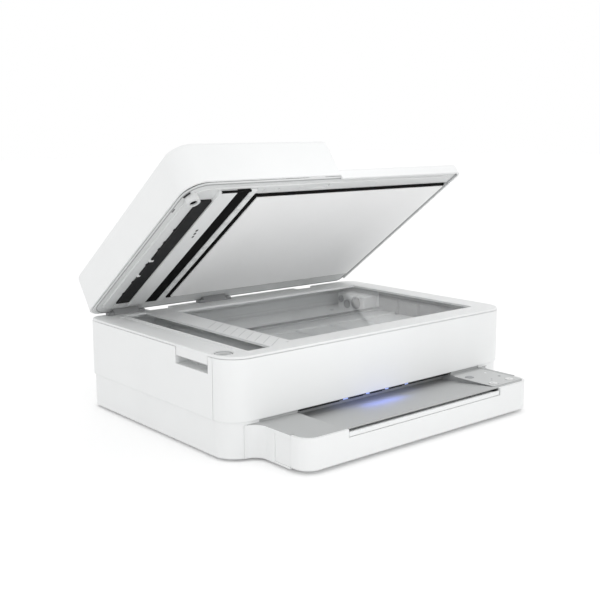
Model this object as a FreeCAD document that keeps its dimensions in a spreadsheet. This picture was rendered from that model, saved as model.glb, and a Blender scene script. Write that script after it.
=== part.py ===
import FreeCAD, Part
import os
import re
import Sketcher
from FreeCAD import Placement, Rotation, Vector

DOC = FreeCAD.newDocument("Printer")
SHEET = DOC.addObject("Spreadsheet::Sheet", "Dims")

# Driving sizes in millimetres and degrees. The front of the printer looks along -Y, the table is at z = 0.
SIZES = {
    "body_width": 432.5, "total_depth": 361, "body_depth": 287, "front_radius": 28, "rear_radius": 16,
    "wall": 2.5, "foot_height": 3, "part_line": 41, "seam_height": 106, "base_inset": 2, "side_seam": 79,
    "paper_centre": -5, "tray_width": 350, "tray_top": 37.5, "arm_end": 157, "slot_half": 120.5,
    "recess_rear": 30, "nose_radius": 18, "arm_blend": 16,
    "deck_bottom": 106.4, "deck_top": 109, "glass_left": -114, "glass_right": 185,
    "glass_front": -78, "glass_rear": 140, "strip_left": -178, "strip_right": -148,
    "strip_front": -88, "strip_rear": 158, "tub_half": 192, "tub_front": -92, "tub_rear": 166,
    "tub_floor": 77,
    "lid_angle": 36.6, "hinge_y": 174, "hinge_z": 108, "lift_y": 176, "lift_z": 103, "lift_x": 120,
    "lid_front": -103, "lid_right": 197, "lid_corner": 10, "lid_under": 112.5, "lid_flange": 114,
    "lid_seat": 116.1, "shell_low": 111.5,
    "adf_low": 116.3, "lid_top": 124.5, "adf_end": -9, "adf_top": 166, "pin_radius": 2.5,
    "left_hinge": -168, "inner_hinge": -36, "hinge_half": 17.5, "peg_x": -202, "peg_y": -79,
    "peg_radius": 7.6,
    "handle_front": 71, "handle_rear": 12, "handle_low": 88,
    "rod_y": 15, "rod_z": 56, "rod_radius": 4.5, "feed_y": 12, "eject_y": -76, "roller_z": 31,
    "shaft_radius": 4,
    "pick_y": 60, "pick_z": 30.5, "pick_end": 98, "run_fit": 0.05, "cheek": 196.5,
    "carriage_x": 138, "carriage_half": 52, "pulley_x": 182, "belt_y": 38, "pulley_radius": 5.1,
    "scan_x": -133, "scan_rod_y": 84, "scan_rod_z": 84, "button_radius": 5, "guide_half": 109,
    "inlet_x": 161, "usb_x": 105, "power_x": -140, "power_z": 70,
}
for row, (alias, size) in enumerate(SIZES.items(), 1):
    SHEET.set(f"A{row}", alias)
    SHEET.set(f"B{row}", str(size))
    SHEET.setAlias(f"B{row}", alias)
DOC.recompute()

LEFT = "-body_width/2"
RIGHT = "body_width/2"
REAR = "total_depth/2"
NOSE = "-total_depth/2"
FRONT = "total_depth/2 - body_depth"
NODES = {}


def ex(text):
    """Expression text with each size name looked up in the sheet."""
    return re.sub(r"[a-z_]\w*", lambda m: m[0] if m[0] in ("sin", "cos") else "Dims." + m[0], str(text))


def number(text):
    return float(SHEET.evalExpression(ex(text)))


def block(name, x, y, z):
    """A box between two places on each axis."""
    box = DOC.addObject("Part::Box", name)
    for side, axis, (low, high) in zip(("Length", "Width", "Height"), "xyz", (x, y, z)):
        box.setExpression(side, ex(f"({high}) - ({low})"))
        box.setExpression(f"Placement.Base.{axis}", ex(low))
    return box


TURNS = {"x": Rotation(Vector(0, 1, 0), 90), "y": Rotation(Vector(1, 0, 0), -90), "z": Rotation()}


def rod(name, axis, x, y, z, radius):
    """A cylinder along one axis; that axis is given as a pair, the other two as the centre line."""
    bar = DOC.addObject("Part::Cylinder", name)
    places = {"x": x, "y": y, "z": z}
    low, high = places[axis]
    places[axis] = low
    bar.Placement = Placement(Vector(), TURNS[axis])
    bar.setExpression("Radius", ex(radius))
    bar.setExpression("Height", ex(f"({high}) - ({low})"))
    for letter, place in places.items():
        bar.setExpression(f"Placement.Base.{letter}", ex(place))
    return bar


def wedge(name, x, y, front_z, rear_z):
    """A block whose height changes from its front face to its rear face."""
    ramp = DOC.addObject("Part::Wedge", name)
    for prop, text in (("Xmin", x[0]), ("X2min", x[0]), ("Xmax", x[1]), ("X2max", x[1]), ("Ymin", y[0]),
                       ("Ymax", y[1]), ("Zmin", front_z[0]), ("Zmax", front_z[1]), ("Z2min", rear_z[0]),
                       ("Z2max", rear_z[1])):
        ramp.setExpression(prop, ex(text))
    return ramp


def slab(name, x, y, z, front=None, rear=None, top=None, bottom=None, right=True):
    """A plate from a sketched rectangle, its upright corners and its rims rounded."""
    body = DOC.addObject("PartDesign::Body", name)
    outline = body.newObject("Sketcher::SketchObject", name + "_outline")
    plane = next(f for f in body.Origin.OriginFeatures if f.Role == "XY_Plane")
    outline.AttachmentSupport = [(plane, "")]
    outline.MapMode = "FlatFace"
    for axis, (low, high) in zip("xyz", (x, y, z)):
        outline.setExpression(f"AttachmentOffset.Base.{axis}", ex(low))
    wide = f"({x[1]}) - ({x[0]})"
    deep = f"({y[1]}) - ({y[0]})"
    spots = [Vector(0, 0), Vector(number(wide), 0), Vector(number(wide), number(deep)),
             Vector(0, number(deep))]
    for start, end in zip(spots, spots[1:] + spots[:1]):
        outline.addGeometry(Part.LineSegment(start, end))
    for side in range(4):
        outline.addConstraint(Sketcher.Constraint("Coincident", side, 2, (side + 1) % 4, 1))
        outline.addConstraint(Sketcher.Constraint("Vertical" if side % 2 else "Horizontal", side))
    outline.addConstraint(Sketcher.Constraint("Coincident", 0, 1, -1, 1))
    for kind, side, text in (("DistanceX", 0, wide), ("DistanceY", 1, deep)):
        index = outline.addConstraint(Sketcher.Constraint(kind, side, 1, side, 2, number(text)))
        outline.setExpression(f"Constraints[{index}]", ex(text))
    pad = body.newObject("PartDesign::Pad", name + "_pad")
    pad.Profile = outline
    pad.setExpression("Length", ex(f"({z[1]}) - ({z[0]})"))
    DOC.recompute()
    middle_x = (number(x[0]) + number(x[1])) / 2
    middle_y = (number(y[0]) + number(y[1])) / 2
    low = number(z[0])
    high = number(z[1])

    def upright(edge, ahead):
        box = edge.BoundBox
        return box.ZLength > (high - low) * 0.99 and (box.Center.y < middle_y) == ahead and (
            right or box.Center.x < middle_x)

    def level(edge, height):
        box = edge.BoundBox
        return box.ZLength < 1e-6 and abs(box.ZMin - height) < 1e-6

    feature = pad
    for radius, wanted in ((front, lambda e: upright(e, True)), (rear, lambda e: upright(e, False)),
                           (top, lambda e: level(e, high)), (bottom, lambda e: level(e, low))):
        if radius is None:
            continue
        edges = [f"Edge{n}" for n, edge in enumerate(feature.Shape.Edges, 1) if wanted(edge)]
        rounding = body.newObject("PartDesign::Fillet", name + "_round")
        rounding.Base = (feature, edges)
        rounding.setExpression("Radius", ex(radius))
        DOC.recompute()
        feature = rounding
    return body


def fuse(name, *pieces):
    whole = DOC.addObject("Part::MultiFuse", name)
    whole.Shapes = list(pieces)
    return whole


def cut(name, base, *tools):
    rest = DOC.addObject("Part::Cut", name)
    rest.Base = base
    rest.Tool = tools[0] if len(tools) == 1 else fuse(name + "_tools", *tools)
    return rest


def common(name, *pieces):
    shared = DOC.addObject("Part::MultiCommon", name)
    shared.Shapes = list(pieces)
    return shared


def group(name, *pieces):
    several = DOC.addObject("Part::Compound", name)
    several.Links = list(pieces)
    return several


def sub_part(node, piece):
    """Registers a finished piece under its node name."""
    piece.Label = node
    NODES[node] = piece


def lid_part(node, piece):
    """Registers a piece drawn with the lid shut and turned up to the rest opening."""
    posed = group(node + "_posed", piece)
    posed.Placement = Placement(Vector(), Rotation(Vector(1, 0, 0), -number("lid_angle")))
    posed.setExpression("Placement.Rotation.Angle", ex("-lid_angle"))
    posed.setExpression("Placement.Base.y", ex("hinge_y - (cos(lid_angle)*hinge_y + sin(lid_angle)*hinge_z)"))
    posed.setExpression("Placement.Base.z", ex("hinge_z - (cos(lid_angle)*hinge_z - sin(lid_angle)*hinge_y)"))
    sub_part(node, posed)


def span(side, near, far):
    """A pair of X places counted outward from the middle, on the right (1) or the left (-1)."""
    return (near, far) if side > 0 else (f"-({far})", f"-({near})")


def around(centre, half):
    return (f"{centre} - ({half})", f"{centre} + ({half})")


# Lower case: a tray-shaped pan with two forward arms for the paper drawer, blended into the front wall.
ARM = around("paper_centre", "tray_width/2")
pan = slab("pan", (f"{LEFT} + base_inset", f"{RIGHT} - base_inset"),
           (f"{FRONT} + base_inset", f"{REAR} - base_inset"), ("foot_height", "part_line"),
           "front_radius - base_inset", "rear_radius - base_inset")
pan_room = slab("pan_room", (f"{LEFT} + base_inset + wall", f"{RIGHT} - base_inset - wall"),
                (f"{FRONT} + base_inset + wall", f"{REAR} - base_inset - wall"),
                ("foot_height + 3", "part_line + 1"),
                "front_radius - base_inset - wall", "rear_radius - base_inset - wall")
arms = block("arms", ARM, ("-arm_end", f"{FRONT} + 20"), ("foot_height", "tray_top"))
channel = block("channel", (f"{ARM[0]} + 3", f"{ARM[1]} - 3"), ("-arm_end - 1", f"{FRONT} + 22"),
                ("foot_height + 3", "part_line + 1"))
blends = []
dents = []
caps = []
for end, inner, outer in ((-1, ARM[0], f"{ARM[0]} - arm_blend"), (1, ARM[1], f"{ARM[1]} + arm_blend")):
    across = (outer, inner) if end < 0 else (inner, outer)
    corner = block("blend_block", across, (f"{FRONT} + base_inset - arm_blend", f"{FRONT} + base_inset + 1"),
                   ("foot_height", "tray_top"))
    scoop = rod("blend_scoop", "z", outer, f"{FRONT} + base_inset - arm_blend", ("0", "tray_top + 5"),
                "arm_blend")
    blends.append(cut("blend", corner, scoop))
    cap_block = block("cap_block", across, (f"{FRONT} + base_inset - arm_blend", f"{FRONT} + base_inset"),
                      ("tray_top", "tray_top + 0.6"))
    cap_scoop = rod("cap_scoop", "z", outer, f"{FRONT} + base_inset - arm_blend", ("0", "tray_top + 5"),
                    "arm_blend + 0.3")
    caps.append(cut("cap_corner", cap_block, cap_scoop))
    rim = (inner, f"{inner} + 4.6") if end < 0 else (f"{inner} - 4.6", inner)
    caps.append(block("cap_strip", rim, ("-arm_end", f"{FRONT} + base_inset"),
                      ("tray_top", "tray_top + 0.6")))
    dents.append(block("arm_dent", around(inner, "0.8"), ("-arm_end - 1", "-133"),
                       ("foot_height + 2", "tray_top - 4")))
case_outer = fuse("lower_case_outer", pan, arms, *blends)
sub_part("lower_case", cut("lower_case_cut", case_outer, pan_room, channel, *dents))

# Upper walls: one rounded ring split into the front fascia, two side panels and the rear panel.
hull = slab("hull", (LEFT, RIGHT), (FRONT, REAR), ("part_line", "seam_height"), "front_radius", "rear_radius",
            None, "1.2")
hull_room = slab("hull_room", (f"{LEFT} + wall", f"{RIGHT} - wall"), (f"{FRONT} + wall", f"{REAR} - wall"),
                 ("part_line - 1", "seam_height + 1"), "front_radius - wall", "rear_radius - wall")
ring = cut("ring", hull, hull_room)
EVERY_Z = ("0", "seam_height + 5")
front_zone = block("front_zone", (f"{LEFT} - 1", f"{RIGHT} + 1"), (f"{FRONT} - 1", "-side_seam - 0.25"),
                   EVERY_Z)
sub_part("front_fascia", common("front_fascia_cut", ring, front_zone))

HANDLE = ("-handle_front", "-handle_rear")
for side, node in ((-1, "left_side_panel"), (1, "right_side_panel")):
    zone = block("side_zone", span(side, "190.25", "body_width"), ("-side_seam + 0.25", f"{REAR} + 1"),
                 EVERY_Z)
    panel = common("side_wall", ring, zone)
    cup = block("handle_cup", span(side, "cheek", "body_width/2 - wall + 0.5"),
                ("-handle_front - 3", "-handle_rear + 3"), ("handle_low - 2.5", "104"))
    grip = block("handle_grip", span(side, "cheek + 2", "body_width/2 + 1"), HANDLE, ("handle_low", "101.5"))
    mouth = block("handle_mouth", span(side, "body_width/2 - 3.4", "body_width/2 + 1"), HANDLE,
                  ("handle_low", "seam_height + 1"))
    shoulder = block("rear_shoulder", span(side, "150", "body_width"), ("171", f"{REAR} + 1"),
                     ("104.3", "seam_height + 5"))
    hollows = [grip, mouth, shoulder]
    if side < 0:
        hollows.append(block("post_room", ("left_hinge - hinge_half - 9", "-150"), ("171", f"{REAR} + 1"),
                             ("95", "120")))
    sub_part(node, cut(node + "_cut", fuse(node + "_outer", panel, cup), *hollows))

# Rear panel with hinge knuckle notches, socket windows, a button hole and cooling slots.
rear_zone = block("rear_zone", ("-189.75", "189.75"), (f"{REAR} - 10", f"{REAR} + 1"), ("0", "104.3"))
REAR_WALL = (f"{REAR} - 10", f"{REAR} + 5")
LID_HINGES = ("left_hinge", "inner_hinge")
windows = []
for hinge in LID_HINGES:
    windows.append(block("lid_notch", around(hinge, "hinge_half + 8.5"), REAR_WALL, ("97", "120")))
for side in (-1, 1):
    windows.append(block("lift_notch", around(f"{side}*lift_x", "16"), REAR_WALL, ("92", "120")))
windows.append(block("inlet_window", around("inlet_x", "11.3"), REAR_WALL, ("56.7", "73.3")))
windows.append(block("usb_window", around("usb_x", "7.3"), REAR_WALL, ("54.7", "67.3")))
windows.append(rod("button_window", "y", "power_x", REAR_WALL, "power_z", "button_radius + 1.3"))
for slot in range(10):
    windows.append(block("vent", around(f"-70 + {slot}*9", "1.5"), REAR_WALL, ("52", "78")))
brackets = []
for side in (-1, 1):
    for hand in (-1, 1):
        cheek = block("lift_cheek", around(f"{side}*lift_x + {hand}*11.5", "3"), ("169", f"{REAR} - 0.2"),
                      ("84", "106"))
        brackets.append(cheek)
    brackets.append(rod("lift_pin", "x", around(f"{side}*lift_x", "14.5"), "lift_y", "lift_z", "pin_radius"))
rear_wall = cut("rear_wall", common("rear_strip", ring, rear_zone), *windows)
sub_part("rear_panel", fuse("rear_panel_fuse", rear_wall, *brackets))

FEET = [("0", "0"), ("-185", "-85"), ("185", "-85"), ("-185", "155"), ("185", "155"),
        ("paper_centre - 160", "-146"), ("paper_centre + 160", "-146")]
feet = [rod("foot", "z", x, y, ("0", "foot_height"), "8") for x, y in FEET]
sub_part("rubber_feet", group("feet", *feet))

# Output tray: a grey plate between the arms with a ramp that falls towards the paper slot.
slot_x = around("paper_centre", "slot_half")
plate = slab("output_plate", (f"{ARM[0]} + 3.3", f"{ARM[1]} - 3.3"), (f"{NOSE} + 3.3", f"{FRONT} + 4.2"),
             ("tray_top - 3", "tray_top"), "nose_radius - 3.3")
under = wedge("ramp_under", around("paper_centre", "slot_half + 2"), (f"{NOSE} + 8.5", f"{FRONT} + 4.2"),
              ("tray_top - 3", "tray_top - 1"), ("recess_rear - 2.5", "tray_top - 1"))
ramp = wedge("ramp_room", slot_x, (f"{NOSE} + 8.5", f"{FRONT} + 5"), ("tray_top - 0.1", "tray_top + 5"),
             ("recess_rear", "tray_top + 5"))
apron = block("ramp_apron", around("paper_centre", "slot_half + 2"), (f"{FRONT} + 4", f"{FRONT} + 18.5"),
              ("recess_rear - 2.5", "recess_rear"))
apron_wall = block("apron_wall", around("paper_centre", "slot_half + 2"),
                   (f"{FRONT} + 17", f"{FRONT} + 18.5"), ("recess_rear - 2.5", "recess_rear + 6"))
upstand = block("upstand", (f"{ARM[0]} + 3.3", f"{ARM[1]} - 3.3"), (f"{FRONT} + 2.7", f"{FRONT} + 4.2"),
                ("tray_top - 1", "part_line - 0.2"))
BUTTONS = {"info_button": ("122", "-128"), "resume_button": ("121.5", "-164"),
           "cancel_button": ("151", "-164")}
wells = [rod("button_well", "z", x, y, ("20", "60"), "button_radius + 0.4") for x, y in BUTTONS.values()]
sloped = cut("ramp_cut", fuse("ramp_fuse", plate, under, upstand), ramp)
lip_gap = block("lip_gap", around("paper_centre", "slot_half - 2"), (f"{NOSE} + 3", f"{NOSE} + 7"),
                ("tray_top - 4", "tray_top - 0.9"))
tray_sheet = fuse("output_tray_fuse", sloped, apron, apron_wall, *caps)
sub_part("output_tray", cut("output_tray_cut", tray_sheet, lip_gap, *wells))
overlay = slab("panel_plate", ("111", "165"), ("-173", "-112"), ("tray_top", "tray_top + 0.5"), "4", "4")
wells = [rod("panel_well", "z", x, y, ("20", "60"), "button_radius + 0.4") for x, y in BUTTONS.values()]
lamp_hole = rod("lamp_hole", "z", "152.5", "-127", ("20", "60"), "1.6")
sub_part("control_panel", cut("control_panel_cut", overlay, *wells, lamp_hole))
for node, (x, y) in BUTTONS.items():
    key = rod(node + "_key", "z", x, y, ("tray_top - 2.6", "tray_top + 1.1"), "button_radius")
    sub_part(node, key)
light_bar = block("light_bar", ("-70", "60"), (f"{FRONT} + 4.6", f"{FRONT} + 7"), ("38.4", "41.6"))
sub_part("light_guide", light_bar)

# Paper drawer: white wrap-round front with a top notch for the extension lip, and an open-backed pan.
nose = slab("nose", ARM, (NOSE, "-arm_end - 0.3"), ("foot_height + 1", "tray_top"), "nose_radius", None,
            None, "2.4")
nose_room = slab("nose_room", (f"{ARM[0]} + 3", f"{ARM[1]} - 3"), (f"{NOSE} + 3", "-arm_end + 5"),
                 ("foot_height + 5", "tray_top + 1"), "nose_radius - 3")
notch = block("lip_notch", around("paper_centre", "slot_half - 2"), (f"{NOSE} - 1", f"{NOSE} + 4"),
              ("29", "tray_top + 1"))
sub_part("tray_front", cut("tray_front_cut", nose, nose_room, notch))
DRAWER = around("paper_centre", "132")
drawer_pan = block("drawer_pan", DRAWER, ("-arm_end", "125"), ("foot_height + 3.3", "20"))
drawer_room = block("drawer_room", (f"{DRAWER[0]} + 2", f"{DRAWER[1]} - 2"), ("-arm_end - 1", "126"),
                    ("foot_height + 4.8", "30"))
drawer_toe = block("drawer_toe", DRAWER, (f"{NOSE} + 3", "-arm_end"),
                   ("foot_height + 5", "foot_height + 6.2"))
sub_part("tray_box", fuse("tray_box_fuse", cut("drawer", drawer_pan, drawer_room), drawer_toe))
for side, node in ((-1, "width_guide_left"), (1, "width_guide_right")):
    fence = block("fence", around(f"paper_centre + {side}*(guide_half + 1)", "1"), ("-60", "60"),
                  ("foot_height + 5.2", "19.5"))
    sole = block("fence_sole", around(f"paper_centre + {side}*(guide_half - 12)", "14"), ("-30", "30"),
                 ("foot_height + 5.2", "foot_height + 6"))
    sub_part(node, fuse(node + "_fuse", fence, sole))
EXTENDER = around("paper_centre", "slot_half - 8")
lip = block("lip", around("paper_centre", "slot_half - 3"), (f"{NOSE} + 0.7", f"{NOSE} + 2.9"),
            ("29.4", "tray_top - 3.4"))
lip_neck = block("lip_neck", EXTENDER, (f"{NOSE} + 2.5", f"{NOSE} + 5.4"), ("29.4", "33.4"))
lip_plate = wedge("lip_plate", EXTENDER, (f"{NOSE} + 3.3", "-114"), ("31.9", "33.4"), ("25.6", "27.1"))
sub_part("tray_extender", fuse("tray_extender_fuse", lip, lip_neck, lip_plate))

# Print mechanism: sheet-metal frame, rods, rollers, belt drive and the paper turn guide.
PAPER = around("paper_centre", "112")
frame_parts = [block("beam_back", ("-cheek", "cheek"), ("50", "51.5"), ("44", "74")),
               block("beam_top", ("-cheek", "cheek"), ("30", "51.5"), ("72.5", "74"))]
for side in (-1, 1):
    frame_parts.append(block("cheek_plate", span(side, "cheek", "cheek + 1.5"), ("-95", "72"),
                             ("foot_height + 3", "74")))
ACROSS = ("-cheek - 2", "cheek + 2")
bores = [rod("feed_bore", "x", ACROSS, "feed_y", "roller_z", "shaft_radius + run_fit"),
         rod("eject_bore", "x", ACROSS, "eject_y", "roller_z", "shaft_radius + run_fit"),
         rod("rod_bore", "x", ACROSS, "rod_y", "rod_z", "rod_radius"),
         rod("pick_bore", "x", ACROSS, "pick_y", "pick_z", "3")]
sub_part("chassis", cut("chassis_cut", fuse("chassis_fuse", *frame_parts), *bores))
BETWEEN = ("-cheek - 1.5", "cheek + 1.5")
sub_part("guide_rods", group("rods", rod("carriage_rod", "x", BETWEEN, "rod_y", "rod_z", "rod_radius"),
                             rod("pick_rod", "x", BETWEEN, "pick_y", "pick_z", "3")))
ribs = [block("platen_rib", around(f"paper_centre + {n}*22", "1"), ("-60", "-10"), ("33", "35"))
        for n in range(-4, 5)]
sub_part("platen", fuse("platen_fuse", block("platen_bed", PAPER, ("-62", "-8"), ("29", "34")), *ribs))
for node, place, tyre in (("feed_roller", "feed_y", "6"), ("eject_roller", "eject_y", "5")):
    shaft = rod(node + "_shaft", "x", ("-cheek - 9", "cheek + 4"), place, "roller_z", "shaft_radius")
    tyres = [rod("tyre", "x", around(f"paper_centre + {n}*40", "7"), place, "roller_z", tyre)
             for n in (-2, -1, 0, 1, 2)]
    wheel = rod(node + "_wheel", "x", ("-cheek - 8.5", "-cheek - 3.5"), place, "roller_z", "14")
    sub_part(node, fuse(node + "_fuse", shaft, wheel, *tyres))
star_bar = block("star_bar", PAPER, (f"{FRONT} + 8", f"{FRONT} + 22"), ("39", "45"))
gaps = [block("star_gap", around(f"paper_centre + {n}*26", "6"), (f"{FRONT} + 7", f"{FRONT} + 15"),
              ("38", "42")) for n in range(-4, 5)]
sub_part("star_wheel_bar", cut("star_bar_cut", star_bar, *gaps))
turn_x = around("paper_centre", "110")
turn_outer = rod("turn_outer", "x", turn_x, "128", "40", "31")
turn_inner = rod("turn_inner", "x", ("-200", "200"), "128", "40", "28")
turn_front = block("turn_front", ("-200", "200"), ("80", "128"), ("0", "90"))
sub_part("paper_guide", cut("paper_guide_cut", turn_outer, turn_inner, turn_front))
service_box = block("service_box", ("132", "192"), ("-70", "-4"), ("foot_height + 3", "36.5"))
black_cap = block("black_cap", ("166", "182"), ("-54", "-20"), ("32", "40"))
colour_cap = block("colour_cap", ("142", "158"), ("-54", "-20"), ("32", "40"))
sub_part("service_station", cut("service_cut", service_box, black_cap, colour_cap))
arm_top = block("arm_top", around("paper_centre", "20"), ("pick_y", "pick_end + 6"), ("27.5", "33"))
arm_lug = block("arm_lug", around("paper_centre", "20"), ("pick_y - 6", "pick_y + 6"), ("24.5", "36.5"))
arm_cheeks = [block("arm_cheek", around(f"paper_centre + {hand}*17", "3"), ("pick_end - 6", "pick_end + 6"),
                    ("12", "28")) for hand in (-1, 1)]
arm_bores = [rod("arm_bore", "x", around("paper_centre", "30"), "pick_y", "pick_z", "3 + run_fit"),
             rod("axle_bore", "x", around("paper_centre", "30"), "pick_end", "17", "pin_radius + run_fit")]
sub_part("pick_arm", cut("pick_arm_cut", fuse("pick_arm_fuse", arm_top, arm_lug, *arm_cheeks), *arm_bores))
pick_tyre = rod("pick_tyre", "x", around("paper_centre", "13.5"), "pick_end", "17", "8.5")
pick_axle = rod("pick_axle", "x", around("paper_centre", "19.5"), "pick_end", "17", "pin_radius")
sub_part("pick_roller", fuse("pick_roller_fuse", pick_tyre, pick_axle))

# Carriage belt with its two pulleys and the motor under the right one.
BELT_Z = ("58", "64")


def belt_loop(name, radius, z):
    run = block(name + "_run", ("-pulley_x", "pulley_x"), around("belt_y", radius), z)
    ends = [rod(name + "_end", "z", f"{side}*pulley_x", "belt_y", z, radius) for side in (-1, 1)]
    return fuse(name, run, *ends)


sub_part("carriage_belt", cut("belt_cut", belt_loop("belt_outer", "pulley_radius + 1.3", BELT_Z),
                              belt_loop("belt_inner", "pulley_radius + 0.4", ("50", "70"))))
for side, node in ((1, "drive_pulley"), (-1, "idler_pulley")):
    drum = rod(node + "_drum", "z", f"{side}*pulley_x", "belt_y", ("57.6", "64.4"), "pulley_radius")
    hub = rod(node + "_hub", "z", f"{side}*pulley_x + 3", "belt_y", ("60", "65"), "0.8")
    sub_part(node, cut(node + "_cut", drum, hub))
sub_part("carriage_motor", fuse("motor_fuse", rod("motor_can", "z", "pulley_x", "belt_y", ("28", "54"), "11"),
                                rod("motor_nose", "z", "pulley_x", "belt_y", ("54", "57"), "4")))

# Carriage with its two ink cartridges and their front latches.
box = block("carriage_box", around("carriage_x", "carriage_half"), ("-64", "-2"), ("38", "74"))
saddle = block("carriage_saddle", around("carriage_x", "42"), ("-3", "26"), ("47", "66"))
clip = block("belt_clip", around("carriage_x", "10"), ("25", "31.2"), ("59", "63"))
bays = [block("cartridge_bay", around(f"carriage_x + {hand}*25", "23"), ("-60", "-8"), ("42", "80"))
        for hand in (-1, 1)]
rod_room = rod("saddle_bore", "x", around("carriage_x", "60"), "rod_y", "rod_z", "rod_radius + run_fit")
sub_part("carriage", cut("carriage_cut", fuse("carriage_fuse", box, saddle, clip), *bays, rod_room))
for hand, ink in ((-1, "colour"), (1, "black")):
    place = f"carriage_x + {hand}*25"
    tank = slab(ink + "_tank", around(place, "22.6"), ("-59.6", "-8.4"), ("42.3", "73.4"), "2", "2", "1.5")
    sub_part(ink + "_cartridge", tank)
    latch = slab(ink + "_flap", around(place, "19"), ("-67.4", "-64.4"), ("55.5", "72"), "1.2")
    latch_edge = rod(ink + "_flap_edge", "x", around(place, "19"), "-65.9", "55.5", "1.5")
    sub_part(ink + "_latch", fuse(ink + "_latch_fuse", latch, latch_edge))

# Electronics and sockets.
board = block("board", ("112", "194"), ("80", "166"), ("52", "53.6"))
chips = [block("chip", around(x, half), around(y, half), ("53.6", "56"))
         for x, y, half in (("132", "112", "9"), ("158", "122", "10"), ("178", "105", "6"),
                            ("128", "145", "7"))]
posts = [rod("board_post", "z", x, y, ("45", "52"), "3") for x in ("136", "188") for y in ("84", "156")]
sub_part("main_board", fuse("main_board_fuse", board, *chips, *posts))
supply_box = slab("supply_box", ("130", "194"), ("78", "162"), ("foot_height + 3", "45"), "3", "3", "2")
sub_part("power_supply", supply_box)
INLET_Y = ("167", f"{REAR}")
inlet = slab("inlet_block", around("inlet_x", "11"), INLET_Y, ("57", "73"))
inlet_room = block("inlet_room", around("inlet_x", "8"), ("169", f"{REAR} + 1"), ("60.5", "69.5"))
pins = [rod("inlet_pin", "y", f"inlet_x + {hand}*4", ("168", "175"), "65", "1.2") for hand in (-1, 1)]
sub_part("power_inlet", fuse("power_inlet_fuse", cut("inlet_cut", inlet, inlet_room), *pins))
usb_room = block("usb_room", around("usb_x", "4.5"), ("169", f"{REAR} + 1"), ("57", "65"))
tongue = block("usb_tongue", around("usb_x", "2.6"), ("168", "175"), ("59.4", "62.6"))
usb_shell = cut("usb_shell", block("usb_block", around("usb_x", "7"), INLET_Y, ("55", "67")), usb_room)
sub_part("usb_socket", fuse("usb_fuse", usb_shell, tongue))
power_key = rod("power_key", "y", "power_x", ("172", f"{REAR} + 1.2"), "power_z", "button_radius + 1")
sub_part("power_button", power_key)

# Scanner unit, hinged at the rear: tub, deck frame, glass plates, rail and the scan bar.
TUB_X = ("-tub_half", "tub_half")
tub = slab("tub", TUB_X, ("tub_front", "tub_rear"), ("tub_floor", "deck_bottom"), "8", "8", None, "3")
tub_room = slab("tub_room", ("-tub_half + 2", "tub_half - 2"), ("tub_front + 2", "tub_rear - 2"),
                ("tub_floor + 2", "deck_bottom + 1"), "6", "6", None, "2")
tub_trough = slab("tub_trough", ("-112", "36"), ("98", "124"), ("tub_floor + 1.5", "tub_floor + 9"),
                  "12.9", "12.9", "1")
tub_step = block("tub_step", ("-150", "tub_half - 1"), ("60", "66"), ("tub_floor + 1", "tub_floor + 4"))
gearbox = slab("gearbox", ("164", "189"), ("96", "150"), ("tub_floor + 1.5", "100"), "3", "3", "1.5")
lugs = []
lug_bores = []
for side in (-1, 1):
    lugs.append(block("lift_lug", around(f"{side}*lift_x", "8"), ("tub_rear - 1", "180.4"), ("97", "106.2")))
    lug_bores.append(rod("lug_bore", "x", around(f"{side}*lift_x", "20"), "lift_y", "lift_z",
                         "pin_radius + run_fit"))
tub_shell = fuse("tub_fuse", cut("tub_cut", tub, tub_room), tub_trough, tub_step, gearbox, *lugs)
sub_part("scanner_tub", cut("scanner_tub_cut", tub_shell, *lug_bores))
deck_plate = slab("deck_plate", (f"{LEFT} + 0.3", f"{RIGHT} - 0.3"), (f"{FRONT} + 0.3", f"{REAR} - 2"),
                  ("deck_bottom", "deck_top"), "front_radius - 0.3", "rear_radius - 2", "1.1")
flaps = [block("handle_flap", span(side, "body_width/2 - 2.8", "body_width/2 - 0.4"),
               ("-handle_front + 0.8", "-handle_rear - 0.8"), ("handle_low + 9", "deck_bottom + 1"))
         for side in (-1, 1)]
flaps.append(rod("peg_cup", "z", "peg_x", "peg_y", ("104.5", "deck_top - 1"), "peg_radius + 1.5"))
DECK_Z = ("deck_bottom - 2", "deck_top + 2")
openings = [slab("glass_window", ("glass_left", "glass_right"), ("glass_front", "glass_rear"), DECK_Z,
                 "3", "3"),
            slab("strip_window", ("strip_left", "strip_right"), ("strip_front", "strip_rear"), DECK_Z,
                 "2", "2"),
            slab("ledge_groove", ("-191", "-183"), ("-72", "150"), ("deck_top - 1", "deck_top + 1"),
                 "3", "3"),
            rod("peg_rim", "z", "peg_x", "peg_y", ("deck_top - 1.2", "deck_top + 1"), "peg_radius + 3"),
            rod("peg_well", "z", "peg_x", "peg_y", ("105", "deck_top + 1"), "peg_radius + 0.5")]
for hinge in LID_HINGES:
    openings.append(block("deck_notch", around(hinge, "hinge_half + 9"), ("166.2", "190"), DECK_Z))
for side in (-1, 1):
    openings.append(block("deck_lift_notch", around(f"{side}*lift_x", "16.5"), ("166.2", "190"), DECK_Z))
sub_part("scanner_deck", cut("scanner_deck_cut", fuse("deck_fuse", deck_plate, *flaps), *openings))
GLASS_Z = ("deck_bottom - 2.5", "deck_bottom")
sub_part("scan_glass", block("big_glass", ("glass_left - 4", "glass_right + 4"),
                             ("glass_front - 4", "glass_rear + 4"), GLASS_Z))
sub_part("adf_glass", block("strip_glass", ("strip_left - 4", "strip_right + 4"),
                            ("strip_front - 1.5", "strip_rear + 4"), GLASS_Z))
scan_rod = rod("scan_rod", "x", ("-tub_half + 2", "tub_half - 2"), "scan_rod_y", "scan_rod_z", "3")
sub_part("scan_rail", scan_rod)
head = slab("head_bar", around("scan_x", "9"), ("-84", "150"), ("90", "103"), "1.5", "1.5")
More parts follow.
